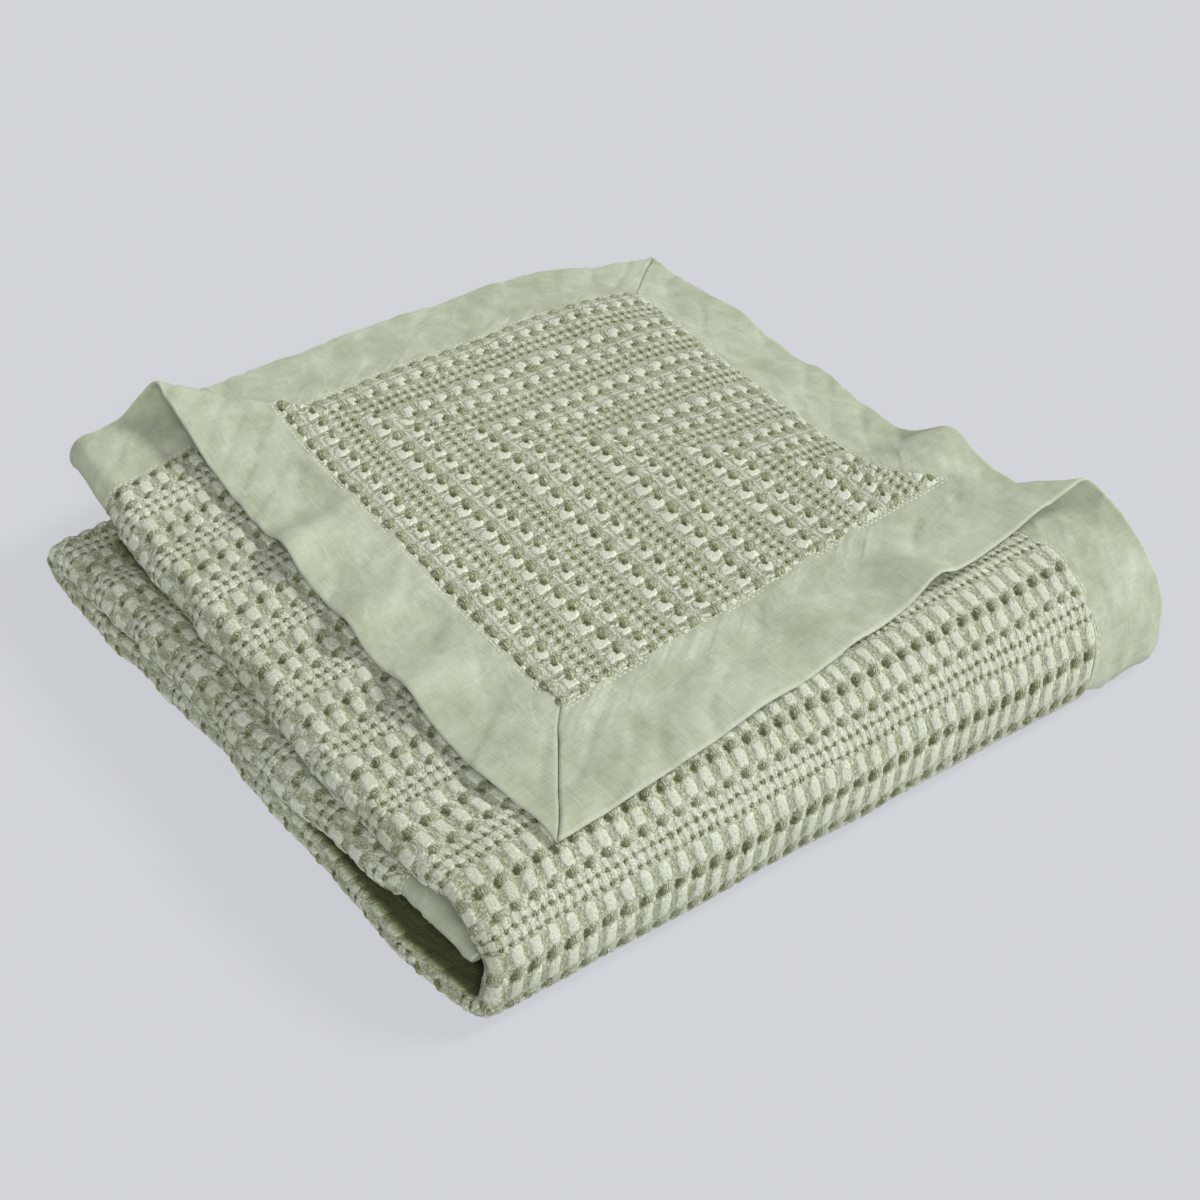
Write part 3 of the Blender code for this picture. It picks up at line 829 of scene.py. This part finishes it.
def border_cloth():
    """Plain weave with slubs both ways and blotches, creases with painted highlights, gathers from the seam
    with painted light and shade, a painted shadow line at the seam and a painted highlight along the hem.
    """
    made, tree, shader = shader_of("border_cloth", 0.85, 0.12)
    flat, seam = uv_map(tree, "flat"), uv_map(tree, "place")
    depth = parts_of(tree, seam)[1]
    over, down = parts_of(tree, flat)
    over = maths(tree, "SINE", maths(tree, "MULTIPLY", over, 2.0 * math.pi / BORDER_YARN))
    down = maths(tree, "SINE", maths(tree, "MULTIPLY", down, 2.0 * math.pi / BORDER_YARN))
    plain = maths(tree, "MULTIPLY", over, down)
    slub = texture(tree, stretched(tree, flat, 1.0, SLUB_STRETCH), SLUB_SCALE, 3.0)
    weft = texture(tree, stretched(tree, flat, SLUB_STRETCH, 1.0), SLUB_SCALE, 3.0)
    threads = maths(tree, "ADD", slub, weft)
    blotch = texture(tree, flat, BLOTCH_SCALE, 4.0, Roughness=0.62)
    crease = from_middle(tree, texture(tree, flat, CREASE_SCALE, 3.0, Distortion=0.3))
    crease = remap(tree, crease, CREASE_WIDTH, 0.0, "SMOOTHSTEP")
    near = remap(tree, depth, GATHER_REACH, 0.0, "SMOOTHSTEP")
    near = maths(tree, "MULTIPLY", near, remap(tree, blotch, *GATHER_PATCH))
    gather = texture(tree, stretched(tree, seam, 1.0, GATHER_STRETCH), GATHER_SCALE, 2.0)
    gather = maths(tree, "MULTIPLY", maths(tree, "SUBTRACT", gather, 0.5), near)
    # Painted shadow along the border's inner edge, under the seam.
    groove = maths(tree, "ABSOLUTE", maths(tree, "SUBTRACT", depth, -OVERLAP))
    groove = remap(tree, groove, GROOVE_FROM, GROOVE_TO)
    hem = remap(tree, depth, BORDER_WIDTH - HEM, BORDER_WIDTH)
    shade = maths(tree, "MULTIPLY_ADD", threads, SLUB_SHADE, -0.1)
    shade = maths(tree, "ADD", shade, centred(tree, blotch, BLOTCH_SHADE))
    # Painted highlights on the crease ridges and the hem, painted light and shade on the gathers.
    for part, amount in ((crease, CREASE_HIGHLIGHT), (gather, GATHER_LIGHT_AND_SHADE), (hem, HEM_HIGHLIGHT)):
        shade = maths(tree, "MULTIPLY_ADD", part, amount, shade)
    colour = blend_colour(tree, shade, BORDER_DARK, BORDER_LIGHT)
    colour = blend_colour(tree, maths(tree, "MULTIPLY", groove, GROOVE_SHADE), colour, YARN_DARK)
    rough = maths(tree, "MULTIPLY_ADD", threads, SLUB_ROUGH, 0.76)
    height = maths(tree, "MULTIPLY_ADD", plain, YARN_BUMP, maths(tree, "MULTIPLY", threads, SLUB_BUMP))
    for part, amount in ((crease, CREASE_BUMP), (gather, GATHER_BUMP), (blotch, BLOTCH_BUMP)):
        height = maths(tree, "MULTIPLY_ADD", part, amount, height)
    bump = node(tree, "ShaderNodeBump", None, Strength=0.8, Distance=BORDER_BUMP, Height=height)
    dress_shader(tree, shader, colour, rough, bump)
    return made


THREAD_DARK = (0.62, 0.66, 0.52, 1.0)
THREAD_LIGHT = (0.86, 0.90, 0.76, 1.0)
THREAD_SCALE = 2500.0


def thread():
    made, tree, shader = shader_of("stitch_thread", 0.7, 0.1)
    fuzz = texture(tree, uv_map(tree, "flat"), THREAD_SCALE, 1.0)
    tree.links.new(blend_colour(tree, fuzz, THREAD_DARK, THREAD_LIGHT), shader.inputs["Base Color"])
    return made


FACE_CLOTH = woven_cloth("panel_weave_face", FACE_ROWS, True, ground=0.96, gap_shade=0.22, rough_edge=2.2)
REVERSE_CLOTH = woven_cloth(
    "panel_weave_reverse", REVERSE_ROWS, False, ground=0.82, gap_shade=0.36, rough_edge=1.5
)
BORDER = border_cloth()
THREAD = thread()

# The panel: a closed sheet, with the raised weave on it wherever a side of the cloth can be seen. Its sheet
# runs a little under the borders, and has closer lines round the left roll and the front and back folds.
SHEET_HALF = 0.0006
SHEET_UNDER = 0.0015
ROLL_REACH = 0.064
FRONT_FOLD = (0.469, 0.570)
BACK_FOLD = (1.030, 1.075)


def build_panel():
    s = lines(
        (IN_LOW - SHEET_UNDER, -ROLL_REACH, 0.009),
        (-ROLL_REACH, ROLL_REACH, 0.0028),
        (ROLL_REACH, IN_HIGH + SHEET_UNDER, 0.009),
    )
    t = lines(
        (HEAD - SHEET_UNDER, FRONT_FOLD[0], 0.009),
        (*FRONT_FOLD, 0.003),
        (FRONT_FOLD[1], BACK_FOLD[0], 0.012),
        (*BACK_FOLD, 0.003),
        (BACK_FOLD[1], FOOT + SHEET_UNDER, 0.012),
    )
    across, along = np.meshgrid(s, t, indexing="ij")
    places = np.stack(weave_place(across, along), axis=-1).reshape(-1, 2)
    return shell("woven_panel_sheet", across, along, np.full(across.shape, SHEET_HALF), FACE_CLOTH, places)


CORNER_SHOWS = 0.016
LOWER_SHOWS = 0.030
WEAVE_INSET = 0.0004


def turned(across, along):
    """Where the upper half's corner is turned over, so that its reverse shows."""
    return across - along > CREASE - CORNER_SHOWS


def uncovered(across, along):
    """Where the turned corner has left the lower half's reverse open."""
    return -across - along > CREASE - LOWER_SHOWS


def build_relief():
    head, foot = HEAD + WEAVE_INSET, FOOT - WEAVE_INSET
    low, high = IN_LOW + WEAVE_INSET, IN_HIGH - WEAVE_INSET
    left = (
        # across from and to, along from and to, step, which of its faces to keep
        (-0.055, 0.095, head, 0.62, 0.0013, None),
        (-0.050, 0.050, 0.62, foot, 0.0015, None),
    )
    front_and_back = (
        (0.095, high, 0.43, 0.62, 0.0013, None),
        (0.050, high, 1.00, 1.10, 0.0020, None),
    )
    corner = ((0.12, high, head, 0.42, 0.0012, turned),)
    lower = ((low, -0.10, head, 0.42, 0.0012, uncovered),)
    return [
        relief("weave_left", left, 1, FACE_CLOTH),
        relief("weave_front", front_and_back, 1, FACE_CLOTH),
        relief("weave_corner", corner, -1, REVERSE_CLOTH),
        relief("weave_lower", lower, -1, REVERSE_CLOTH),
    ]


# Borders
CREASES = (
    # height, slant, width, length, noise shift
    (0.0016, 0.7, 0.024, 0.075, 0),
    (0.0013, -0.8, 0.030, 0.090, 4),
)
SWIRL = 0.012
SWIRL_SIZE = 0.05
FINE = 0.00035
FINE_SIZE = (0.0085, 0.0095)
BROAD = 0.0013
BROAD_SIZE = 0.055
CREASE_START = 0.003
CREASE_GROW = 0.018
PUCKER = 0.00065
PUCKER_AT = 0.002
PUCKER_WIDTH = 0.009
BORDER_STEP = 0.0030
EDGE_STEP = 0.0013
EDGE_ZONES = (0.006, 0.060)
EDGE_HALF = 0.0004
SEAM_HALF = 0.0011
SEAM_THINNER = 0.0004
SEAM_ZONE = 0.02
SEAM_ROUND = 0.0012
HEM_ROUND = 0.0015
STITCH_DENT = 0.0002
DENT_WIDTH = 0.0007
MITRE_GAP = 0.0002


def wrinkles(across, along, depth, shift):
    """Soft creases of the plain cloth, in metres."""
    swirl = SWIRL * noise(across / SWIRL_SIZE, along / SWIRL_SIZE, shift + 3)
    creases = 0.0
    for height, slant, wide, long, other in CREASES:
        over, down = (across + slant * along + swirl) / wide, (along - slant * across) / long
        ridge = 1.0 - 2.0 * np.abs(noise(over, down, shift + other))
        creases = creases + height * np.clip(ridge, 0.0, 1.0) ** 2
    fine = noise(across / FINE_SIZE[0], along / FINE_SIZE[1], shift + 1)
    broad = noise(across / BROAD_SIZE, along / BROAD_SIZE, shift + 2)
    away = smooth((depth - CREASE_START) / CREASE_GROW)
    pucker = np.exp(-(((depth - PUCKER_AT) / PUCKER_WIDTH) ** 2))
    return creases * away + FINE * fine + BROAD * broad * away + PUCKER * pucker * fine


def border_half(depth):
    """Half the border's thickness: thin at both edges, dented along the stitches."""
    edge = np.clip((depth + OVERLAP) / SEAM_ROUND, 0.0, 1.0) ** 0.5
    rim = np.clip((BORDER_WIDTH - depth) / HEM_ROUND, 0.0, 1.0) ** 0.5
    half = EDGE_HALF + (SEAM_HALF - SEAM_THINNER * smooth(depth / SEAM_ZONE)) * edge * rim
    for line in STITCH_LINES:
        half = half - STITCH_DENT * np.exp(-(((depth - line) / DENT_WIDTH) ** 2))
    return half


def border(name, corners, shift):
    """A mitred strip. Corners are its inner two and outer two, in flat metres, in order along the strip."""
    (a0, b0), (a1, b1), (c1, d1), (c0, d0) = corners
    length = math.hypot(a1 - a0, b1 - b0)
    near_zone, far_zone = EDGE_ZONES
    depth = lines(
        (-OVERLAP, near_zone, EDGE_STEP),
        (near_zone, far_zone, BORDER_STEP),
        (far_zone, BORDER_WIDTH, EDGE_STEP),
    )
    run = np.linspace(0.0, 1.0, int(length / BORDER_STEP) + 1)
    share, deep = np.meshgrid(run, depth / BORDER_WIDTH, indexing="ij")
    near = (a0 + (a1 - a0) * share, b0 + (b1 - b0) * share)
    far = (c0 + (c1 - c0) * share, d0 + (d1 - d0) * share)
    across = near[0] * (1.0 - deep) + far[0] * deep
    along = near[1] * (1.0 - deep) + far[1] * deep
    metres = deep * BORDER_WIDTH
    places = np.stack([share * length + GATHER_SLANT * metres, metres], axis=-1)
    grids = (across, along, border_half(metres), wrinkles(across, along, metres, shift), places)
    if (c0 - a0) * (b1 - b0) - (d0 - b0) * (a1 - a0) > 0.0:
        grids = (grid[::-1] for grid in grids)
    across, along, half, bend, places = grids
    return shell(name, across, along, half, BORDER, places.reshape(-1, 2), bend)


def build_borders():
    low, high, end = -LOWER_WIDTH, UPPER_WIDTH, CLOTH_LENGTH
    left, right = IN_LOW + MITRE_GAP, IN_HIGH - MITRE_GAP
    top, bottom = HEAD + MITRE_GAP, FOOT - MITRE_GAP
    strips = (
        # node, corners, noise shift
        ("head_border", ((left, HEAD), (right, HEAD), (high - MITRE_GAP, 0.0), (low + MITRE_GAP, 0.0)), 10),
        ("foot_border", ((left, FOOT), (right, FOOT), (high - MITRE_GAP, end), (low + MITRE_GAP, end)), 20),
        (
            "upper_side_border",
            ((IN_HIGH, top), (IN_HIGH, bottom), (high, end - MITRE_GAP), (high, MITRE_GAP)),
            30,
        ),
        (
            "lower_side_border",
            ((IN_LOW, top), (IN_LOW, bottom), (low, end - MITRE_GAP), (low, MITRE_GAP)),
            40,
        ),
    )
    return {node_name: border(node_name + "_cloth", corners, shift) for node_name, corners, shift in strips}


# Topstitching
STITCH = 0.0040
STITCH_LONG = 0.0030
STITCH_THICK = 0.00042
STITCH_OVAL = 0.6
STITCH_SIDES = 6
STITCH_RINGS = (
    # place along the stitch, share of its thickness
    (-0.5, 0.25),
    (-0.32, 1.0),
    (0.32, 1.0),
    (0.5, 0.25),
)
STITCH_CAPS = (
    # ring, sides that its quad joins
    (0, (0, 5, 4, 3)),
    (0, (0, 3, 2, 1)),
    (3, (0, 1, 2, 3)),
    (3, (0, 3, 4, 5)),
)
STITCH_LIFT = 0.0013
STITCH_DIVE = 0.0005
SECOND_LINE_LAG = 0.3
LOOK_AHEAD = 0.0005


def stitches(name, ends, outward):
    """Rows of stitches beside one seam, on both sides of the cloth."""
    (s0, t0), (s1, t1) = ends
    length = math.hypot(s1 - s0, t1 - t0)
    step = np.array([s1 - s0, t1 - t0]) / length
    turns = np.arange(STITCH_SIDES) * np.pi / 3.0
    points, faces, flats = [], [], []
    count = 0
    for line in STITCH_LINES:
        begin = np.arange(STITCH / 2.0, length, STITCH) + (SECOND_LINE_LAG * STITCH if line else 0.0)
        middle = np.array([s0, t0]) + begin[:, None] * step + line * np.array(outward)
        number = len(middle)
        for side in (1.0, -1.0):
            normal = side * face_normal(middle[:, 0], middle[:, 1])
            for place, wide in STITCH_RINGS:
                spot = middle + place * STITCH_LONG * step
                centre = folded(*spot.T) + (STITCH_LIFT - STITCH_DIVE * (wide < 1.0)) * normal
                ahead = folded(*(spot + LOOK_AHEAD * step).T) - folded(*spot.T)
                ahead /= np.linalg.norm(ahead, axis=1, keepdims=True)
                over = np.cross(ahead, normal)
                for turn in turns:
                    out = np.cos(turn) * over + STITCH_OVAL * np.sin(turn) * normal
                    points.append(centre + STITCH_THICK * wide * out)
                    flats.append(spot)
            base = count + np.arange(number)
            for ring in range(len(STITCH_RINGS) - 1):
                for turn in range(STITCH_SIDES):
                    a = base + (ring * STITCH_SIDES + turn) * number
                    b = base + (ring * STITCH_SIDES + (turn + 1) % STITCH_SIDES) * number
                    ahead_by = STITCH_SIDES * number
                    faces.append(np.stack([a, b, b + ahead_by, a + ahead_by], axis=-1))
            for ring, order in STITCH_CAPS:
                corners = [base + (ring * STITCH_SIDES + turn) * number for turn in order]
                faces.append(np.stack(corners, axis=-1))
            count += number * STITCH_SIDES * len(STITCH_RINGS)
    return mesh_object(name, np.concatenate(points), np.concatenate(faces), np.concatenate(flats), THREAD)


def build_stitches():
    seams = (
        # node, name, ends of the seam, which way is out
        ("head_border", "head_stitching", ((IN_LOW, HEAD), (IN_HIGH, HEAD)), (0.0, -1.0)),
        ("foot_border", "foot_stitching", ((IN_LOW, FOOT), (IN_HIGH, FOOT)), (0.0, 1.0)),
        ("upper_side_border", "upper_side_stitching", ((IN_HIGH, HEAD), (IN_HIGH, FOOT)), (1.0, 0.0)),
        ("lower_side_border", "lower_side_stitching", ((IN_LOW, HEAD), (IN_LOW, FOOT)), (-1.0, 0.0)),
    )
    return {node_name: stitches(name, ends, outward) for node_name, name, ends, outward in seams}


def dress():
    sheet = build_panel()
    raised = build_relief()
    edges = build_borders()
    seams = build_stitches()
    for piece in (sheet, *raised):
        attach(piece, "root")
        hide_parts("woven_panel")
    for node_name in edges:
        for piece in (edges[node_name], seams[node_name]):
            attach(piece, "root")
            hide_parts(node_name)


# Floor, light and camera
FLOOR_SIZE = 14.0
FLOOR_Z = -0.0004
FLOOR_COLOUR = (0.105, 0.108, 0.113, 1.0)
FLOOR_GLOW = (0.520, 0.535, 0.567, 1.0)
SKY_COLOUR = (0.94, 0.96, 1.0, 1.0)
SKY_STRENGTH = 0.40
SUN_COLOUR = (1.0, 0.985, 0.96)
SUNS = (
    # name, where from, strength, width in degrees
    ("key", (0.95, -0.20, 0.75), 2.35, 14.0),
    ("fill", (-0.35, -0.90, 0.70), 1.30, 25.0),
)
CAMERA_PLACE = (-0.5912, -0.7977, 0.8487)
CAMERA_HEADING = math.radians(52.7718)
CAMERA_DOWN = math.radians(40.6403)
CAMERA_LENS = 57.0
SENSOR = 36.0


def build_stage():
    made, _tree, shader = shader_of("floor_paper", 0.9, 0.0)
    shader.inputs["Base Color"].default_value = FLOOR_COLOUR
    shader.inputs["Emission Color"].default_value = FLOOR_GLOW
    shader.inputs["Emission Strength"].default_value = 1.0
    bpy.ops.mesh.primitive_plane_add(size=FLOOR_SIZE, location=(0.0, 0.0, FLOOR_Z))
    floor = bpy.context.object
    floor.name = "floor"
    floor.data.materials.append(made)


def build_light():
    scene = bpy.context.scene
    scene.view_settings.view_transform = "Standard"
    world = bpy.data.worlds.new("studio")
    scene.world = world
    world.use_nodes = True
    background = world.node_tree.nodes["Background"]
    background.inputs["Color"].default_value = SKY_COLOUR
    background.inputs["Strength"].default_value = SKY_STRENGTH
    for name, source, energy, wide in SUNS:
        data = bpy.data.lights.new(name, "SUN")
        data.energy = energy
        data.angle = math.radians(wide)
        data.color = SUN_COLOUR
        sun = bpy.data.objects.new(name, data)
        scene.collection.objects.link(sun)
        sun.rotation_mode = "QUATERNION"
        sun.rotation_quaternion = Vector(source).to_track_quat("Z", "Y")


def build_camera():
    camera = bpy.data.objects.new("camera", bpy.data.cameras.new("camera"))
    bpy.context.scene.collection.objects.link(camera)
    c, s = math.cos(CAMERA_HEADING), math.sin(CAMERA_HEADING)
    cd, sd = math.cos(CAMERA_DOWN), math.sin(CAMERA_DOWN)
    right, up, back = (s, -c, 0.0), (sd * c, sd * s, cd), (-cd * c, -cd * s, sd)
    rows = [[right[i], up[i], back[i], CAMERA_PLACE[i]] for i in range(3)]
    camera.matrix_world = Matrix([*rows, [0.0, 0.0, 0.0, 1.0]])
    camera.data.sensor_width = SENSOR
    camera.data.lens = CAMERA_LENS
    bpy.context.scene.camera = camera


dress()
build_stage()
build_light()
build_camera()
